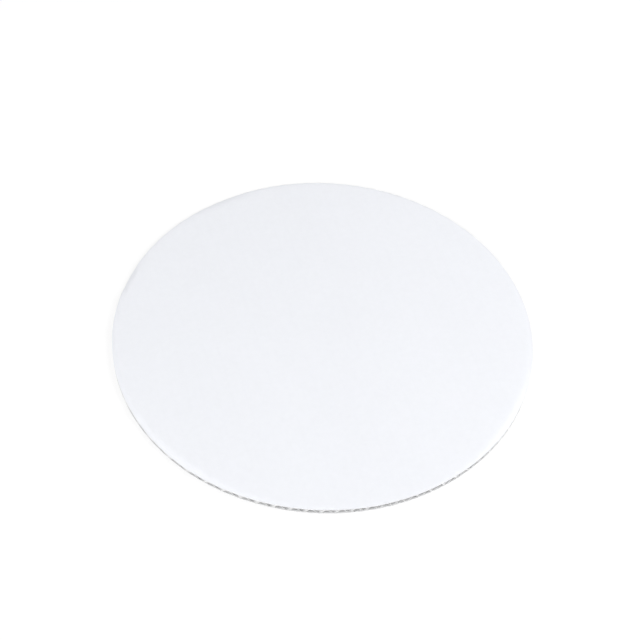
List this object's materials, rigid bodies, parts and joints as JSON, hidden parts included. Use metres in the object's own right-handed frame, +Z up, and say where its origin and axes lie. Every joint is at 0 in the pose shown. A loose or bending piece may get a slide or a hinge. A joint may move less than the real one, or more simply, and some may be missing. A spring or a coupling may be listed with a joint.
{
  "type": "cake board",
  "caption": "Round white-faced corrugated cake board: a flat disposable disc that a cake is set on, carried on and served from.",
  "frame": {"origin": "centre of the underside, on the surface that the board lies on", "axes": "+Z up, out of the white face; the flutes run along Y"},
  "size_m": [0.2032, 0.2032, 0.003],
  "materials": {
    "white_face": "satin",
    "fluting": "matte",
    "white_back": "matte"
  },
  "bodies": {
    "root": {"cake_board": "white_face"}
  },
  "joints": []
}
